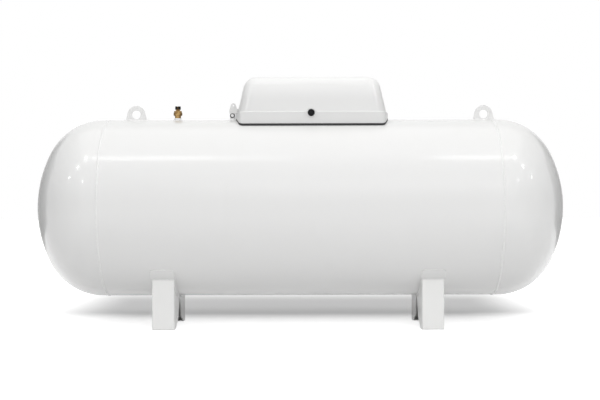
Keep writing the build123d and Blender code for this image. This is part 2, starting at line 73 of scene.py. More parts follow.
# %% [markdown]
# ## Places read from the model
# The vessel's radius, its axis and its top line come from the shell's box, and each small
# part is placed from the box of the solid that carries it. All the valves stand on the
# vessel's top line, so a ring or a nut on one of them needs only its height above that
# solid's foot or its drop below that solid's top.

# %% Vessel sizes, and points on a solid
shell_low, shell_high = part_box("shell")
axis_z = (shell_low.z + shell_high.z) / 2
vessel_radius = (shell_high.z - shell_low.z) / 2
top_z = axis_z + vessel_radius


def middle(node):
    """The centre of a solid's box."""
    low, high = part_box(node)
    return (low + high) / 2


def up_from(node, rise):
    """A point on a valve's upright line, so far above the solid's foot."""
    return Vector((middle(node).x, 0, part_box(node)[0].z + rise))


def down_from(node, drop):
    """A point on a valve's upright line, so far below the solid's top."""
    return Vector((middle(node).x, 0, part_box(node)[1].z - drop))


print("vessel radius", round(vessel_radius, 4), "top", round(top_z, 4))

# %% [markdown]
# ## The camera
# The tank is looked at from straight in front of its long side, at the height of its
# axis, and from far enough away that the ends hardly taper. A long lens on a level line
# gives that picture. A wide lens close by would bend the tank's straight lines away from
# the viewer. A tiny pitch puts the axis a little below the middle of the frame.

# %% Camera
camera_away = 7.0
camera_aside = -0.002
camera_pitch = 0.347
camera_roll = 0.0026
camera_data = bpy.data.cameras.new("camera")
camera_data.lens = 73.3
camera_data.sensor_width = 36
camera = bpy.data.objects.new("camera", camera_data)
bpy.context.scene.collection.objects.link(camera)
camera.location = (camera_aside, -camera_away, axis_z)
camera.rotation_euler = (radians(90 + camera_pitch), camera_roll, 0)
bpy.context.scene.camera = camera
bpy.context.scene.view_settings.view_transform = "Standard"
print("camera lens", camera_data.lens)

# %% [markdown]
# ## Shader maths
# A material is a graph of nodes, and sums read better than wires. This small class
# holds one socket and turns each Python operator into a Math node, so that a pattern can
# be written as an expression. Colours go through Mix nodes, because Math greys them.

# %% Sockets as values
class Value:
    """One socket of a material's graph."""

    def __init__(self, graph, socket):
        self.graph = graph
        self.socket = socket

    def maths(self, operation, first, second):
        return self.graph.node("ShaderNodeMath", {"operation": operation}, first, second)

    def __add__(self, other):
        return self.maths("ADD", self, other)

    def __sub__(self, other):
        return self.maths("SUBTRACT", self, other)

    def __rsub__(self, other):
        return self.maths("SUBTRACT", other, self)

    def __mul__(self, other):
        return self.maths("MULTIPLY", self, other)

    __radd__ = __add__
    __rmul__ = __mul__

    def larger(self, other):
        return self.maths("MAXIMUM", self, other)

    def root(self):
        return self.maths("SQRT", self, 0)

    def between(self, low, high):
        """0 below low, 1 above high, and smooth in between."""
        smooth = {"interpolation_type": "SMOOTHSTEP"}
        limits = {"From_Min": low, "From_Max": high}
        return self.graph.node("ShaderNodeMapRange", smooth, Value=self, **limits)


print("socket maths ready")


# %% A material and its nodes
class Graph:
    """The nodes of one material, round its glossy shader."""

    def __init__(self, name, colour, roughness, **constants):
        self.material = bpy.data.materials.new(name)
        self.material.use_nodes = True
        self.tree = self.material.node_tree
        self.shader = self.tree.nodes["Principled BSDF"]
        self.feed(Base_Color=colour, Roughness=roughness, **constants)
        self.place = self.node("ShaderNodeTexCoord", {}, output="Object")
        self.facing = self.node("ShaderNodeTexCoord", {}, output="Normal")

    def plug(self, socket, value):
        if isinstance(value, Value):
            self.tree.links.new(value.socket, socket)
        elif socket.type == "RGBA" and len(value) == 3:
            socket.default_value = (*value, 1)
        else:
            socket.default_value = value

    def feed(self, **values):
        for name, value in values.items():
            self.plug(self.shader.inputs[name.replace("_", " ")], value)

    def node(self, kind, settings, *values, output=0, **named):
        made = self.tree.nodes.new(kind)
        for key, value in settings.items():
            setattr(made, key, value)
        for socket, value in zip(made.inputs, values):
            self.plug(socket, value)
        for key, value in named.items():
            self.plug(made.inputs[key.replace("_", " ")], value)
        return Value(self, made.outputs[output])

    def noise(self, scale, detail=3.0, stretch=(1, 1, 1), roughness=0.5):
        """Soft blotches, one number from 0 to 1."""
        place = self.node("ShaderNodeMapping", {}, Vector=self.place, Scale=stretch)
        amounts = {"Scale": scale, "Detail": detail, "Roughness": roughness}
        return self.node("ShaderNodeTexNoise", {}, Vector=place, **amounts)

    def mix(self, mask, first, second):
        """The first colour where the mask is 0, the second where it is 1."""
        made = self.tree.nodes.new("ShaderNodeMix")
        made.data_type = "RGBA"
        sockets = (made.inputs[0], made.inputs[6], made.inputs[7])
        for socket, value in zip(sockets, (mask, first, second)):
            self.plug(socket, value)
        return Value(self, made.outputs[2])

    def bump(self, height, strength, distance):
        amounts = {"Strength": strength, "Distance": distance}
        self.feed(Normal=self.node("ShaderNodeBump", {}, Height=height, **amounts))


print("shader helpers ready")

# %% [markdown]
# ## The studio
# White paint shows the room as much as its own colour, so the room comes first. The
# world is white to the camera and to reflections. As a light it is brightest overhead and
# in front, and dim to the sides, low down and behind, which rounds off the vessel's ends.
# The floor is white, takes the tank's shadow, and glows into the same white all round
# the shadow, so that no horizon shows. Two grey cards stand behind the ends, outside the
# picture. They draw the thin dark rim that keeps a white end apart from a white room.
# The main light is a big soft box in front and above, a little to the right, and is kept
# out of reflections. A row of small soft boxes overhead gives the streak on the vessel,
# and small spots beyond it give the bright points on its ends.

# %% World
world = bpy.data.worlds.new("studio")
world.use_nodes = True
bpy.context.scene.world = world
tree = world.node_tree
white_rays = ("Is Camera Ray", "Is Glossy Ray", "Is Transmission Ray")


def world_maths(operation, *sources):
    """A Math node between sockets of the world."""
    made = tree.nodes.new("ShaderNodeMath")
    made.operation = operation
    for source, socket in zip(sources, made.inputs):
        tree.links.new(source, socket)
    return made.outputs[0]


def world_ramp(source, first, last, low, high):
    """Goes from low to high while the source goes from first to last."""
    made = tree.nodes.new("ShaderNodeMapRange")
    settings = {"From Min": first, "From Max": last, "To Min": low, "To Max": high}
    for name, value in settings.items():
        made.inputs[name].default_value = value
    tree.links.new(source, made.inputs["Value"])
    return made.outputs[0]


direction = tree.nodes.new("ShaderNodeTexCoord").outputs["Generated"]
parts = tree.nodes.new("ShaderNodeSeparateXYZ")
tree.links.new(direction, parts.inputs[0])
from_above = world_ramp(parts.outputs["Z"], 0, 1, 0.13, 1.1)
from_sides = world_ramp(world_maths("ABSOLUTE", parts.outputs["X"]), 0.35, 1, 1.0, 0.25)
from_front = world_ramp(parts.outputs["Y"], -1, 1, 1.3, 0.25)
sky = world_maths("MULTIPLY", world_maths("MULTIPLY", from_above, from_sides), from_front)
rays = tree.nodes.new("ShaderNodeLightPath")
camera_ray, glossy_ray, through_ray = [rays.outputs[name] for name in white_rays]
is_seen = world_maths("MAXIMUM", world_maths("MAXIMUM", camera_ray, glossy_ray), through_ray)
strength = tree.nodes.new("ShaderNodeMapRange")
tree.links.new(is_seen, strength.inputs["Value"])
tree.links.new(sky, strength.inputs["To Min"])
tree.links.new(strength.outputs[0], tree.nodes["Background"].inputs["Strength"])
tree.nodes["Background"].inputs["Color"].default_value = (1, 1, 1, 1)
print("world:", world.name, len(tree.nodes), "nodes")


# %% Floor
def sheet(name, half, place, material):
    """A flat square of the studio with one material."""
    bm = bmesh.new()
    bmesh.ops.create_grid(bm, x_segments=1, y_segments=1, size=half, matrix=place)
    mesh = bpy.data.meshes.new(name)
    bm.to_mesh(mesh)
    bm.free()
    mesh.materials.append(material)
    made = bpy.data.objects.new(name, mesh)
    bpy.context.scene.collection.objects.link(made)
    return made


floor_half = 60
glow_beside = (1.15, 1.95)
glow_behind = (1.65, 3.7)
glow_in_front = (0.15, 0.85)
front_strength = 0.72
bow_beside, bow_depth = (0.9, 1.9), 0.35
matt = {"roughness": 0.9, "Specular_IOR_Level": 0.05}
paint = Graph("floor_paint", (0.80, 0.80, 0.80), Emission_Strength=1.0, **matt)
seen = [paint.node("ShaderNodeLightPath", {}, output=name) for name in white_rays]
watched = seen[0].larger(seen[1]).larger(seen[2])
across = paint.node("ShaderNodeSeparateXYZ", {}, paint.place, output=0)
back = paint.node("ShaderNodeSeparateXYZ", {}, paint.place, output=1)
off_middle = across.larger(0 - across)
beside = off_middle.between(*glow_beside)
behind = back.between(*glow_behind)
bowed = back - off_middle.between(*bow_beside) * bow_depth
in_front = (1 - bowed.between(*glow_in_front)) * front_strength
all_round = (beside * beside + behind * behind + in_front * in_front).root()
paint.feed(Emission_Color=paint.mix(watched * all_round, (0, 0, 0), (1, 1, 1)))
sheet("floor", floor_half, Matrix.Translation((0, 0, cad_box[0][2])), paint.material)
print("floor:", 2 * floor_half, "m wide")

# %% Grey cards behind the ends
card_aside, card_back, card_rise = 3.97, 2.25, 1.36
card_half = 1.35
card_turn = radians(28)
card_paint = Graph("card_paint", (0.38, 0.38, 0.38), **matt)
upright = Matrix.Rotation(radians(90), 4, "X")
for side in (-1, 1):
    stand = Matrix.Translation((side * card_aside, card_back, card_rise))
    place = stand @ Matrix.Rotation(-side * card_turn, 4, "Z") @ upright
    card = sheet(f"card_{side}", card_half, place, card_paint.material)
    card.visible_camera = card.visible_diffuse = card.visible_shadow = False
    print(card.name, "stands at", [round(part, 2) for part in stand.translation])


# %% Lamps
def lamp(name, place, target, size, power):
    """A rectangular soft box that points at a target."""
    data = bpy.data.lights.new(name, "AREA")
    data.shape = "RECTANGLE"
    data.size, data.size_y = size
    data.energy = power
    made = bpy.data.objects.new(name, data)
    made.location = place
    aim = Vector(target) - Vector(place)
    made.rotation_euler = aim.to_track_quat("-Z", "Y").to_euler()
    bpy.context.scene.collection.objects.link(made)
    return made


main_light = lamp("front", (0.9, -6.5, 3.9), (0, 0, axis_z), size=(4.0, 1.6), power=135)
main_light.visible_glossy = False
lamp("ceiling", (0, 0, 5.0), (0, 0, 0), size=(7.0, 5.0), power=48)
row_y, row_z, row_depth = -1.5, 3.45, 0.3
streak_y, streak_z = -0.4, 0.95
row = (
    ("row_left", -1.2, 1.1, 3.0),
    ("row_left_end", -0.35, 0.6, 0.7),
    ("row_right", 1.4, 0.7, 2.0),
)
for name, x, width, power in row:
    lamp(name, (x, row_y, row_z), (x, streak_y, streak_z), (width, row_depth), power)
spot_places = ((2.1, -1.35), (3.1, -1.9), (5.0, -2.4), (3.2, -4.0))
spot_target = (1.2, -0.45, 0.87)
for side in (-1, 1):
    target = (side * spot_target[0], *spot_target[1:])
    for number, (x, y) in enumerate(spot_places):
        lamp(f"spot_{side}_{number}", (side * x, y, row_z), target, size=(0.16, 0.16), power=4.0)
print("lamps:", len(bpy.data.lights))

# %% [markdown]
# ## White lacquer
# The vessel is sprayed with a hard gloss white. Close up such a coat isn't flat: it has
# a slight orange peel that makes reflections wobble, a fine dusting on what faces up,
# and faint marks where water runs down. A painted image could carry these marks, but
# noise on object coordinates needs no file, never repeats, and stays on the metal when
# the tank is seen from another side. One function mixes all three white paints. The
# cover's coat is a little duller, and its walls carry painted shade: their colour is
# darkened towards the ledge.

# %% Paints
dust_tint = (0.94, 0.93, 0.90)
run_tint = 0.94
no_painted_shade = (0.0, 0.001, 0.0)


def lacquer(name, colour, roughness=0.2, peel=0.3, dust=0.4, painted_shade=no_painted_shade):
    """Sprayed gloss paint with orange peel, settled dust and faint runs.

    Painted shade darkens the low walls: it is given as the height up to which it is full, the
    height where it ends, and its depth.
    """
    graph = Graph(name, colour, roughness, Coat_Roughness=0.09, Specular_IOR_Level=0.4)
    edge = graph.node("ShaderNodeLayerWeight", {}, output="Facing")
    graph.feed(Coat_Weight=0.5 * (1 - edge.between(0.6, 0.95)))
    up = graph.node("ShaderNodeSeparateXYZ", {}, graph.facing, output=2)
    blotches = graph.noise(3.0, 5.0, (1, 1, 1), 0.6)
    runs = graph.noise(14.0, 3.0, (1, 1, 0.08))
    settled = up.between(0.3, 1.0) * blotches.between(0.2, 0.9) * dust
    streaks = runs.between(0.56, 0.78) * (1 - up.between(0.5, 0.95)) * (0.3 * dust)
    dusty = tuple(part * tint for part, tint in zip(colour, dust_tint))
    streaked = tuple(part * run_tint for part in colour)
    # Painted shade: on walls below a given height the colour is darkened towards the bottom.
    low_z, high_z, depth = painted_shade
    height = graph.node("ShaderNodeSeparateXYZ", {}, graph.place, output=2)
    painted_shade_mask = (1 - height.between(low_z, high_z)) * (1 - up.between(0.5, 0.9))
    shaded_colour = tuple(part * (1 - depth) for part in colour)
    clean = graph.mix(painted_shade_mask, colour, shaded_colour)
    graph.feed(Base_Color=graph.mix(streaks, graph.mix(settled, clean, dusty), streaked))
    graph.feed(Roughness=roughness + settled * 0.1 + streaks * 0.2 + blotches * 0.04)
    graph.bump(graph.noise(160.0, 2.0) * 0.35 + graph.noise(22.0, 2.0), peel, 0.0005)
    return graph.material


dome_height = 0.201
ledge_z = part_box("hood")[1].z - dome_height
# The cover's walls get painted shade that darkens them towards the ledge.
wall_painted_shade = (ledge_z + 0.059, ledge_z + 0.159, 0.12)
white_lacquer = lacquer("white_lacquer", (0.80, 0.80, 0.795))
cover_lacquer = lacquer("cover_lacquer", (0.83, 0.83, 0.825), 0.3, 0.4, painted_shade=wall_painted_shade)
leg_lacquer = lacquer("leg_lacquer", (0.89, 0.89, 0.88), 0.35, 0.4, dust=0.6)
print("lacquers:", white_lacquer.name, cover_lacquer.name, leg_lacquer.name)

# %% [markdown]
# ## Painted welds
# A weld bead is a row of frozen ripples, and under paint its edges stay soft. Each ripple
# could be modelled, but from a few metres away only their uneven shine shows. Two sizes
# of noise give that, one for the ripples and one for the paint that lies over them.

# %% Weld paint
bead = Graph("weld_lacquer", (0.82, 0.82, 0.815), 0.3, Coat_Weight=0.3, Coat_Roughness=0.15)
ripples = bead.noise(120.0, 4.0, (1, 1, 1), 0.7)
uneven = bead.noise(60.0)
shade = (ripples * 0.5 + uneven * 0.5).between(0.35, 0.7)
bead.feed(Base_Color=bead.mix(shade, (0.79, 0.79, 0.785), (0.85, 0.85, 0.845)))
bead.feed(Roughness=0.25 + uneven * 0.2)
bead.bump(ripples + uneven * 0.5, 0.4, 0.0008)
weld_lacquer = bead.material
print("weld paint:", weld_lacquer.name)

# %% [markdown]
# ## Brass, zinc, plastic and rubber
# Turned brass tarnishes in blotches and keeps fine lathe rings. Zinc plate has a faint
# crystal mottle. Moulded plastic has a fine grain, and rubber goes chalky outdoors. The
# metals share one function and the mouldings another, because within each family only
# the colours and the scale of the marks differ.

# %% Metals
def metal(name, bright, dull, scale, rings=0.0):
    """Bare metal that dulls in blotches, with lathe rings if it was turned."""
    graph = Graph(name, bright, 0.3, Metallic=1.0)
    tarnish = graph.noise(scale, 5.0, (1, 1, 1), 0.65)
    crystals = graph.node("ShaderNodeTexVoronoi", {}, Vector=graph.place, Scale=260.0)
    lathe_marks = graph.noise(900.0, 1.0, (0.05, 0.05, 1))
    graph.feed(Base_Color=graph.mix(tarnish.between(0.4, 0.68), bright, dull))
    graph.feed(Roughness=0.24 + tarnish * 0.3)
    graph.bump(lathe_marks * rings + crystals * (1 - rings) + tarnish * 0.5, 0.3, 0.0004)
    return graph.material


brass = metal("turned_brass", (0.46, 0.30, 0.12), (0.16, 0.09, 0.04), 45.0, rings=0.9)
zinc = metal("zinc_plate", (0.60, 0.61, 0.62), (0.40, 0.41, 0.42), 70.0)
casting = metal("gauge_casting", (0.62, 0.62, 0.61), (0.45, 0.45, 0.45), 90.0)
print("metals:", brass.name, zinc.name, casting.name)


# %% Plastics and rubber
def moulded(name, colour, roughness, grain=700.0, **constants):
    """Plastic or rubber with a fine grain that has faded in patches."""
    graph = Graph(name, colour, roughness, **constants)
    fade = graph.noise(25.0, 4.0)
    pale = tuple(min(1, part * 1.25 + 0.004) for part in colour)
    graph.feed(Base_Color=graph.mix(fade.between(0.45, 0.8), colour, pale))
    graph.feed(Roughness=roughness + fade * 0.15)
    graph.bump(graph.noise(grain, 2.0), 0.3, 0.0003)
    return graph.material


black_plastic = moulded("black_plastic", (0.004, 0.004, 0.005), 0.5, Specular_IOR_Level=0.2)
red_plastic = moulded("red_plastic", (0.50, 0.03, 0.02), 0.3)
dial_white = moulded("dial_white", (0.75, 0.75, 0.73), 0.4)
rubber = moulded("seal_rubber", (0.02, 0.02, 0.021), 0.6, grain=400.0)
print("mouldings:", black_plastic.name, red_plastic.name, dial_white.name, rubber.name)

# %% Finish each solid
finishes = {
    "white_paint": white_lacquer,
    "brass": brass,
    "black_plastic": black_plastic,
    "zinc_steel": zinc,
    "gauge_metal": casting,
    "red_plastic": red_plastic,
    "seal_rubber": rubber,
}
own_finish = {"hood": cover_lacquer, "hinge_arm": cover_lacquer, "lock_plug": black_plastic}
for part in record["subparts"]:
    name = part["node"]
    finish = own_finish.get(name, finishes[part["material_slot"]])
    if name.startswith("leg"):
        finish = leg_lacquer
    if name.startswith("girth"):
        finish = weld_lacquer
    nodes[name].data.materials.clear()
    nodes[name].data.materials.append(finish)
print("finished", len(record["subparts"]), "solids")

# %% [markdown]
# ## How the new pieces are made
# Most new pieces start as a ring or a half section, and bmesh operators sweep it: run
# pulls a ring straight, turn swings it round an axis, and lathe spins a section all the
# way. That is how a welder, a pipe bender and a lathe move too, so the calls read like
# the work. Every finished piece rides on a body and names its material slot.

# %% Make, sweep and turn
def keep(name, body, finish, bm):
    """Cleans a mesh, makes it an object and fixes it to a body."""
    bmesh.ops.remove_doubles(bm, verts=bm.verts, dist=0.00002)
    bmesh.ops.recalc_face_normals(bm, faces=bm.faces)
    mesh = bpy.data.meshes.new(name)
    bm.to_mesh(mesh)
    bm.free()
    mesh.shade_smooth()
    mesh.set_sharp_from_angle(angle=radians(40))
    mesh.materials.append(finish)
    made = bpy.data.objects.new(name, mesh)
    bpy.context.scene.collection.objects.link(made)
    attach(made, body)
    print(name, len(mesh.polygons), "faces")
    return made


def ring(bm, centre, facing, radius, sides=8):
    """A ring of edges that faces a direction, the section of a sweep."""
    turned = Vector((0, 0, 1)).rotation_difference(Vector(facing)).to_matrix().to_4x4()
    place = Matrix.Translation(centre) @ turned
    return bmesh.ops.create_circle(bm, segments=sides, radius=radius, matrix=place)["verts"]


def edges_of(verts):
    """The edges that join a ring's points."""
    linked = dict.fromkeys(edge for vert in verts for edge in vert.link_edges)
    return [edge for edge in linked if all(vert in verts for vert in edge.verts)]


def points_of(made):
    """The points among the things that an operator made."""
    return [item for item in made if isinstance(item, bmesh.types.BMVert)]


def run(bm, verts, step):
    """Pulls a ring straight and returns its far end."""
    ends = points_of(bmesh.ops.extrude_edge_only(bm, edges=edges_of(verts))["geom"])
    bmesh.ops.translate(bm, verts=ends, vec=step)
    return ends


def turn(bm, verts, centre, axis, angle, steps):
    """Swings a ring round an axis and returns its far end."""
    swept = {"cent": centre, "axis": axis, "angle": angle, "steps": steps}
    full = angle == 2 * pi
    made = bmesh.ops.spin(bm, geom=list(verts) + edges_of(verts), use_merge=full, **swept)
    return points_of(made["geom_last"])


def lathe(bm, centre, section, steps=48, axis=(0, 0, 1)):
    """Spins a half section, given as distances out and along, about an axis."""
    start = Vector(centre)
    along = Vector(axis)
    out = along.orthogonal().normalized()
    verts = [bm.verts.new(start + out * radius + along * height) for radius, height in section]
    edges = [bm.edges.new(pair) for pair in zip(verts, verts[1:])]
    swept = {"cent": centre, "axis": axis, "angle": 2 * pi, "steps": steps}
    bmesh.ops.spin(bm, geom=verts + edges, use_merge=True, **swept)


def settle(bm):
    """Lets a flat ring down onto the round top of the vessel."""
    for vert in bm.verts:
        vert.co.z += sqrt(vessel_radius**2 - vert.co.y**2) - vessel_radius


print("sweeping helpers ready")

# %% [markdown]
# ## Weld beads
# Lugs, bosses, hinge ears, pads and legs are all welded on, and each weld is a bead that
# goes round the foot of its part. A plate gets a loop of two runs and two half turns. A
# boss gets a ring that is let down onto the vessel's curve. A pad lies on the curve
# itself, so its bead swings about the vessel's own axis along the sides. A leg's bead
# does the same from the pad's lower edge up, and stays open at the bottom.

# %% Beads round plates and bosses
def plate_bead(bm, centre, length, thickness, radius):
    """A bead round the foot of an upright plate that runs along X."""
    half, out = length / 2, thickness / 2 + radius * 0.3
    verts = ring(bm, centre + Vector((-half, -out, 0)), (1, 0, 0), radius)
    for side in (1, -1):
        verts = run(bm, verts, (side * length, 0, 0))
        verts = turn(bm, verts, centre + Vector((side * half, 0, 0)), (0, 0, 1), pi, 10)


for side in ("left", "right"):
    low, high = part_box(f"lug_{side}")
    foot = Vector((middle(f"lug_{side}").x, 0, top_z))
    bm = bmesh.new()
    plate_bead(bm, foot, high.x - low.x, high.y - low.y, radius=0.005)
    keep(f"weld_lug_{side}", "tank", weld_lacquer, bm)

ear_thickness = 0.008
low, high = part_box("hinge_ears")
bm = bmesh.new()
for side in (-1, 1):
    foot = Vector(((low.x + high.x) / 2, side * (high.y - ear_thickness / 2), top_z))
    plate_bead(bm, foot, high.x - low.x, ear_thickness, radius=0.0035)
settle(bm)
keep("weld_hinge_ears", "tank", weld_lacquer, bm)

boss_gap, boss_bead_radius = 0.001, 0.0042
for name in ("liquid", "filler", "gauge", "service", "relief"):
    low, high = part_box(f"{name}_boss")
    centre = Vector(((low.x + high.x) / 2, 0, top_z))
    start = centre + Vector(((high.x - low.x) / 2 + boss_gap, 0, 0))
    bm = bmesh.new()
    verts = ring(bm, start, (0, 1, 0), boss_bead_radius)
    turn(bm, verts, centre, (0, 0, 1), 2 * pi, 40)
    settle(bm)
    keep(f"weld_{name}_boss", "tank", weld_lacquer, bm)


# %% Beads on the vessel's curve
def curve_bead(bm, x_mid, half, low_angle, high_angle, side, reach, corner, radius, closed):
    """A bead along a plate that wraps the vessel, with angles from its bottom line."""
    lean = corner / reach
    axis_point = Vector((0, 0, axis_z))

    def out(angle):
        return Vector((0, side * sin(angle), -cos(angle)))

    def spot(x, angle):
        return axis_point + Vector((x, 0, 0)) + out(angle) * reach

    def bend(verts, x_side, angle):
        centre = spot(x_mid + x_side * (half - corner), angle)
        return turn(bm, verts, centre, out(angle), -side * pi / 2, 5)

    sweep = side * (high_angle - low_angle - 2 * lean)
    if closed:
        verts = ring(bm, spot(x_mid - half + corner, low_angle), (1, 0, 0), radius)
        verts = run(bm, verts, (2 * (half - corner), 0, 0))
        verts = bend(verts, 1, low_angle + lean)
    else:
        tangent = out(low_angle + lean).cross(Vector((side, 0, 0)))
        verts = ring(bm, spot(x_mid + half, low_angle + lean), tangent, radius)
    verts = turn(bm, verts, axis_point, (1, 0, 0), sweep, 24)
    verts = bend(verts, 1, high_angle - lean)
    verts = run(bm, verts, (-2 * (half - corner), 0, 0))
    verts = bend(verts, -1, high_angle - lean)
    verts = turn(bm, verts, axis_point, (1, 0, 0), -sweep, 24)
    if closed:
        bend(verts, -1, low_angle + lean)


bead_gap = 0.001
pad_lap, leg_lap = 0.002, 0.004
pad_reach, leg_reach = vessel_radius + 0.0012, vessel_radius + 0.0075
for face, side in (("front", -1), ("rear", 1)):
    for end in ("left", "right"):
        low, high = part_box(f"pad_{face}_{end}")
        x_mid, half = (low.x + high.x) / 2, (high.x - low.x) / 2 + bead_gap
        lower_edge = asin(min(abs(low.y), abs(high.y)) / vessel_radius) - pad_lap
        upper_edge = acos((axis_z - high.z) / vessel_radius) + pad_lap
        bm = bmesh.new()
        curve_bead(bm, x_mid, half, lower_edge, upper_edge, side, pad_reach,
                   corner=0.016, radius=0.0026, closed=True)
        keep(f"weld_pad_{face}_{end}", "tank", weld_lacquer, bm)
        low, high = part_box(f"leg_{face}_{end}")
        x_mid, half = (low.x + high.x) / 2, (high.x - low.x) / 2 + bead_gap
        leg_top = asin(max(abs(low.y), abs(high.y)) / leg_reach) + leg_lap
        bm = bmesh.new()
        curve_bead(bm, x_mid, half, lower_edge, leg_top, side, leg_reach,
                   corner=0.010, radius=0.0035, closed=False)
        keep(f"weld_leg_{face}_{end}", "tank", weld_lacquer, bm)

# %% [markdown]
# ## The liquid valve and its cap
# The small brass valve stands alone beside the hood. Its cap isn't a plain cylinder: two
# dark lobes for finger and thumb stand on a low disc, with the brass key between them.
# The lobes could be drawn as two outlines and extruded. Instead one lobe is a short
# cylinder, cut by a plane, rounded by a bevel and then mirrored, which keeps both lobes
# alike and their edges soft.

# %% Bodies that are bevelled or mirrored
def round_off(bm, edges, amount, segments=3):
    """Rounds a set of edges."""
    bmesh.ops.bevel(bm, geom=edges, offset=amount, offset_type="OFFSET", segments=segments,
                    profile=0.5, affect="EDGES", material=-1, clamp_overlap=True)


def steep_edges(bm):
    """The edges where two faces meet at a corner."""
    inner = [edge for edge in bm.edges if len(edge.link_faces) == 2]
    return [edge for edge in inner if edge.calc_face_angle() > radians(30)]


def drum(bm, foot, radius, height, sides=32):
    """A solid disc or cylinder that stands on its foot point."""
    place = Matrix.Translation(Vector(foot) + Vector((0, 0, height / 2)))
    bmesh.ops.create_cone(bm, cap_ends=True, segments=sides, radius1=radius, radius2=radius,
                          depth=height, matrix=place)


def block(bm, centre, size):
    """A box of a given size."""
    place = Matrix.Translation(centre) @ Matrix.Diagonal((*size, 1))
    bmesh.ops.create_cube(bm, size=1, matrix=place)


def whole(bm):
    """Everything in a mesh, for an operator that takes it all."""
    return bm.verts[:] + bm.edges[:] + bm.faces[:]


def cut(bm, point, normal):
    """Takes away what lies beyond a plane and closes the cut."""
    plane = {"plane_co": point, "plane_no": normal}
    made = bmesh.ops.bisect_plane(bm, geom=whole(bm), clear_outer=True, **plane)
    edges = [item for item in made["geom_cut"] if isinstance(item, bmesh.types.BMEdge)]
    bmesh.ops.holes_fill(bm, edges=edges)


print("bevelling helpers ready")

# %% Cap with two lobes
low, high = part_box("liquid_cap")
cap_radius, cap_height = (high.x - low.x) / 2, high.z - low.z
lobe_foot, lobe_gap, lobe_edge = 0.004, 0.0028, 0.0042
bm = bmesh.new()
drum(bm, (0, 0, lobe_foot), cap_radius * 0.97, cap_height - lobe_foot)
cut(bm, (-lobe_gap, 0, 0), (1, 0, 0))
round_off(bm, steep_edges(bm), lobe_edge, segments=4)
bmesh.ops.mirror(bm, geom=whole(bm), axis="X", merge_dist=0)
drum(bm, (0, 0, 0), cap_radius, height=0.005)
bmesh.ops.translate(bm, verts=bm.verts, vec=up_from("liquid_cap", 0))
cap = keep("liquid_cap_lobes", "tank", black_plastic, bm)
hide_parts("liquid_cap")

bm = bmesh.new()
block(bm, up_from("liquid_cap", 0.009), size=(0.0042, 0.022, 0.013))
round_off(bm, steep_edges(bm), 0.001)
keep("liquid_cap_key", "tank", brass, bm)

# %% [markdown]
# ## Rings, threads and nuts on the valves
# What tells a valve from a plug is its turned detail: a bead at each step, a few threads
# below the cap, a nut where two parts screw together. A bead is a small circle turned
# about the valve's own line, and a nut is a six sided drum with its corners rounded. A
# real thread is a helix. At two or three millimetres a turn, a stack of fine beads looks
# the same and is lighter.

# %% Turned rings and threads
def torus(bm, centre, radius, thick, axis=(0, 0, 1), steps=48):
    """A plain round ring about an axis."""
    along = Vector(axis)
    start = Vector(centre) + along.orthogonal().normalized() * radius
    verts = ring(bm, start, along.cross(start - Vector(centre)), thick)
    turn(bm, verts, centre, axis, 2 * pi, steps)


def threads(bm, centre, radius, count, pitch, axis=(0, 0, 1)):
    """A stack of fine rings that reads as a thread."""
    for number in range(count):
        torus(bm, Vector(centre) + Vector(axis) * (pitch * number), radius, pitch * 0.42, axis)


def nut(bm, foot, across, height):
    """A hexagon nut with rounded corners."""
    part = bmesh.new()
    drum(part, foot, across / sqrt(3), height, sides=6)
    round_off(part, steep_edges(part), across * 0.04, segments=2)
    mesh = bpy.data.meshes.new("nut")
    part.to_mesh(mesh)
    part.free()
    bm.from_mesh(mesh)
    bpy.data.meshes.remove(mesh)


bm = bmesh.new()
threads(bm, down_from("liquid_valve", 0.0085), radius=0.0116, count=4, pitch=0.0022)
torus(bm, up_from("liquid_valve", 0.0145), radius=0.0176, thick=0.0012)
torus(bm, down_from("liquid_valve", 0.0105), radius=0.0215, thick=0.0011)
keep("liquid_valve_rings", "tank", brass, bm)

bm = bmesh.new()
threads(bm, down_from("filler_valve", 0.0225), radius=0.0232, count=7, pitch=0.003)
torus(bm, down_from("filler_valve", 0.0275), radius=0.0242, thick=0.002)
keep("filler_valve_threads", "tank", brass, bm)

low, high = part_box("filler_cap")
bm = bmesh.new()
drum(bm, down_from("filler_cap", 0.001), radius=0.015, height=0.0035)
round_off(bm, steep_edges(bm), 0.0012)
torus(bm, up_from("filler_cap", 0.0025), (high.x - low.x) / 2 - 0.0028, thick=0.0022)
keep("filler_cap_top", "tank", black_plastic, bm)

bm = bmesh.new()
torus(bm, up_from("relief_valve", 0.0305), radius=0.0282, thick=0.0022)
torus(bm, down_from("relief_valve", 0.012), radius=0.0282, thick=0.002)
threads(bm, up_from("relief_valve", 0.036), radius=0.0281, count=5, pitch=0.003)
keep("relief_valve_rings", "tank", brass, bm)

crown = [(0.026, 0.0), (0.024, 0.0012), (0.012, 0.0016), (0.004, 0.0036), (0, 0.0042)]
bm = bmesh.new()
lathe(bm, down_from("rain_cap", 0.0005), crown)
keep("rain_cap_crown", "tank", red_plastic, bm)

# %% Service valve: packing nut, outlet thread and wheel nut
outlet_start = up_from("service_valve", 0.044)
outlet_start.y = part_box("service_valve")[1].y - 0.017
bm = bmesh.new()
nut(bm, up_from("service_valve", 0.0745), across=0.030, height=0.009)
torus(bm, up_from("service_valve", 0.0245), radius=0.0202, thick=0.0018)
threads(bm, outlet_start, radius=0.0131, count=6, pitch=0.0028, axis=(0, 1, 0))
keep("service_valve_nuts", "tank", brass, bm)

bm = bmesh.new()
nut(bm, down_from("handwheel", 0.0005), across=0.011, height=0.005)
keep("handwheel_nut", "tank", zinc, bm)

# %% [markdown]
# ## The level gauge
# A float gauge is a flanged casting held by four bolts, with a metal ring round a white
# dial. The dial gets a ring of short marks and a pointer, and no words. The marks could
# be a pattern in the paint, but as thin raised blocks they keep their edges close up. One
# mark is modelled, and its copies are turned round the dial one step further each.

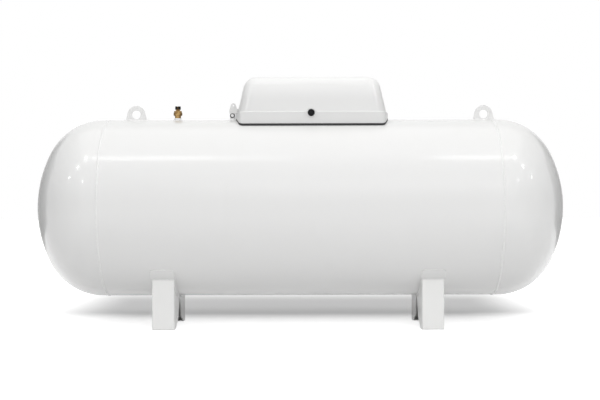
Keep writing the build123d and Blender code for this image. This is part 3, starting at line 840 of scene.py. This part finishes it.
# %% Gauge dial
dial_middle = down_from("level_gauge", 0)
bezel = [(0.0228, 0), (0.0228, 0.0022), (0.0212, 0.003), (0.0198, 0.0022), (0.0196, 0)]
bm = bmesh.new()
lathe(bm, down_from("level_gauge", 0.0005), bezel)
keep("gauge_bezel", "tank", casting, bm)
dial = [(0.0198, 0), (0.0196, 0.0007), (0.01, 0.0009), (0, 0.001)]
bm = bmesh.new()
lathe(bm, down_from("level_gauge", 0.0002), dial)
keep("gauge_dial", "tank", dial_white, bm)

mark_count, mark_step = 11, 30
bm = bmesh.new()
block(bm, dial_middle + Vector((0, -0.0165, 0.0009)), size=(0.0008, 0.004, 0.0004))
mark_faces = bm.faces[:]
for number in range(1, mark_count):
    verts = points_of(bmesh.ops.duplicate(bm, geom=mark_faces)["geom"])
    swing = Matrix.Rotation(radians(mark_step * number), 3, "Z")
    bmesh.ops.rotate(bm, verts=verts, cent=dial_middle, matrix=swing)
torus(bm, dial_middle + Vector((0, 0, 0.0009)), radius=0.0022, thick=0.0012, steps=24)
keep("gauge_marks", "tank", black_plastic, bm)

pointer_angle = -52
bm = bmesh.new()
block(bm, dial_middle + Vector((0, 0.006, 0.0014)), size=(0.0014, 0.018, 0.0006))
swing = Matrix.Rotation(radians(pointer_angle), 3, "Z")
bmesh.ops.rotate(bm, verts=bm.verts, cent=dial_middle, matrix=swing)
keep("gauge_pointer", "tank", red_plastic, bm)

# %% Flange bolts
flange_height, bolt_out, sunk = 0.012, 0.0245, 0.0003
washer = [(0.0072, 0), (0.0072, 0.0012), (0, 0.0012)]
bm = bmesh.new()
for x_side in (-1, 1):
    for y_side in (-1, 1):
        off_centre = Vector((x_side * bolt_out, y_side * bolt_out, 0))
        foot = up_from("level_gauge", flange_height - sunk) + off_centre
        lathe(bm, foot, washer, steps=24)
        nut(bm, foot + Vector((0, 0, 0.0011)), across=0.010, height=0.0055)
keep("gauge_bolts", "tank", zinc, bm)

# %% [markdown]
# ## The lock
# The lock's dark face carries a raised rim and a round plug with a keyhole. A hole could
# be cut into the plug, but its mesh belongs to the model and stays as it is, so the
# keyhole is a thin black block on the plug's face, its black a painted shade for the
# depth of the slot. Face and keyhole ride on the turning part: when the lock turns, the
# slot turns with it.

# %% Lock rim and keyhole
lock_x, lock_z = middle("lock_plug").x, middle("lock_plug").z
face_y, plug_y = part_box("lock_body")[0].y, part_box("lock_plug")[0].y
forwards = (0, -1, 0)
rim = [(0.0174, 0), (0.0168, 0.0016), (0.0152, 0.0016), (0.0146, 0)]
bm = bmesh.new()
lathe(bm, (lock_x, face_y + 0.0006, lock_z), rim, axis=forwards)
keep("lock_rim", "hood", black_plastic, bm)

plug_face = [(0.0063, 0), (0.0060, 0.0007), (0.0044, 0.0009), (0, 0.0009)]
bm = bmesh.new()
lathe(bm, (lock_x, plug_y + 0.0002, lock_z), plug_face, axis=forwards)
keep("lock_plug_face", "lock", black_plastic, bm)
# The keyhole block is black as painted shade for the depth of the slot.
bm = bmesh.new()
block(bm, (lock_x, plug_y - 0.0007, lock_z), size=(0.0012, 0.0008, 0.0068))
round_off(bm, steep_edges(bm), 0.0002, segments=1)
keep("lock_keyhole", "lock", rubber, bm)

# %% [markdown]
# ## The hinge
# Between the pin's heads and the ears sit black washers. Their black is painted shade for
# the shadow gap round the pin, and gives the hinge a dark ring round a pale centre. The
# pin's heads are painted over and slightly crowned. Both are half sections spun about
# the pin's line, once for each side.

# %% Hinge washers and crowned pin heads
hinge_x, hinge_z = middle("hinge_pin").x, middle("hinge_pin").z
shade_washer_y, head_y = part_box("hinge_ears")[1].y - 0.0002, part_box("hinge_pin")[1].y - 0.0002
washer = [(0.0060, 0), (0.0128, 0), (0.0134, 0.0008),
          (0.0128, 0.0032), (0.0092, 0.0036), (0.0060, 0.0036)]
# The washers are black as painted shade for the gap round the pin.
bm = bmesh.new()
for side in (-1, 1):
    lathe(bm, (hinge_x, side * shade_washer_y, hinge_z), washer, axis=(0, side, 0))
keep("hinge_shade_washers", "tank", black_plastic, bm)

pin_crown = [(0.0080, 0), (0.0072, 0.0012), (0.0030, 0.0018), (0, 0.0018)]
bm = bmesh.new()
for side in (-1, 1):
    lathe(bm, (hinge_x, side * head_y, hinge_z), pin_crown, steps=32, axis=(0, side, 0))
keep("hinge_pin_crowns", "tank", white_lacquer, bm)
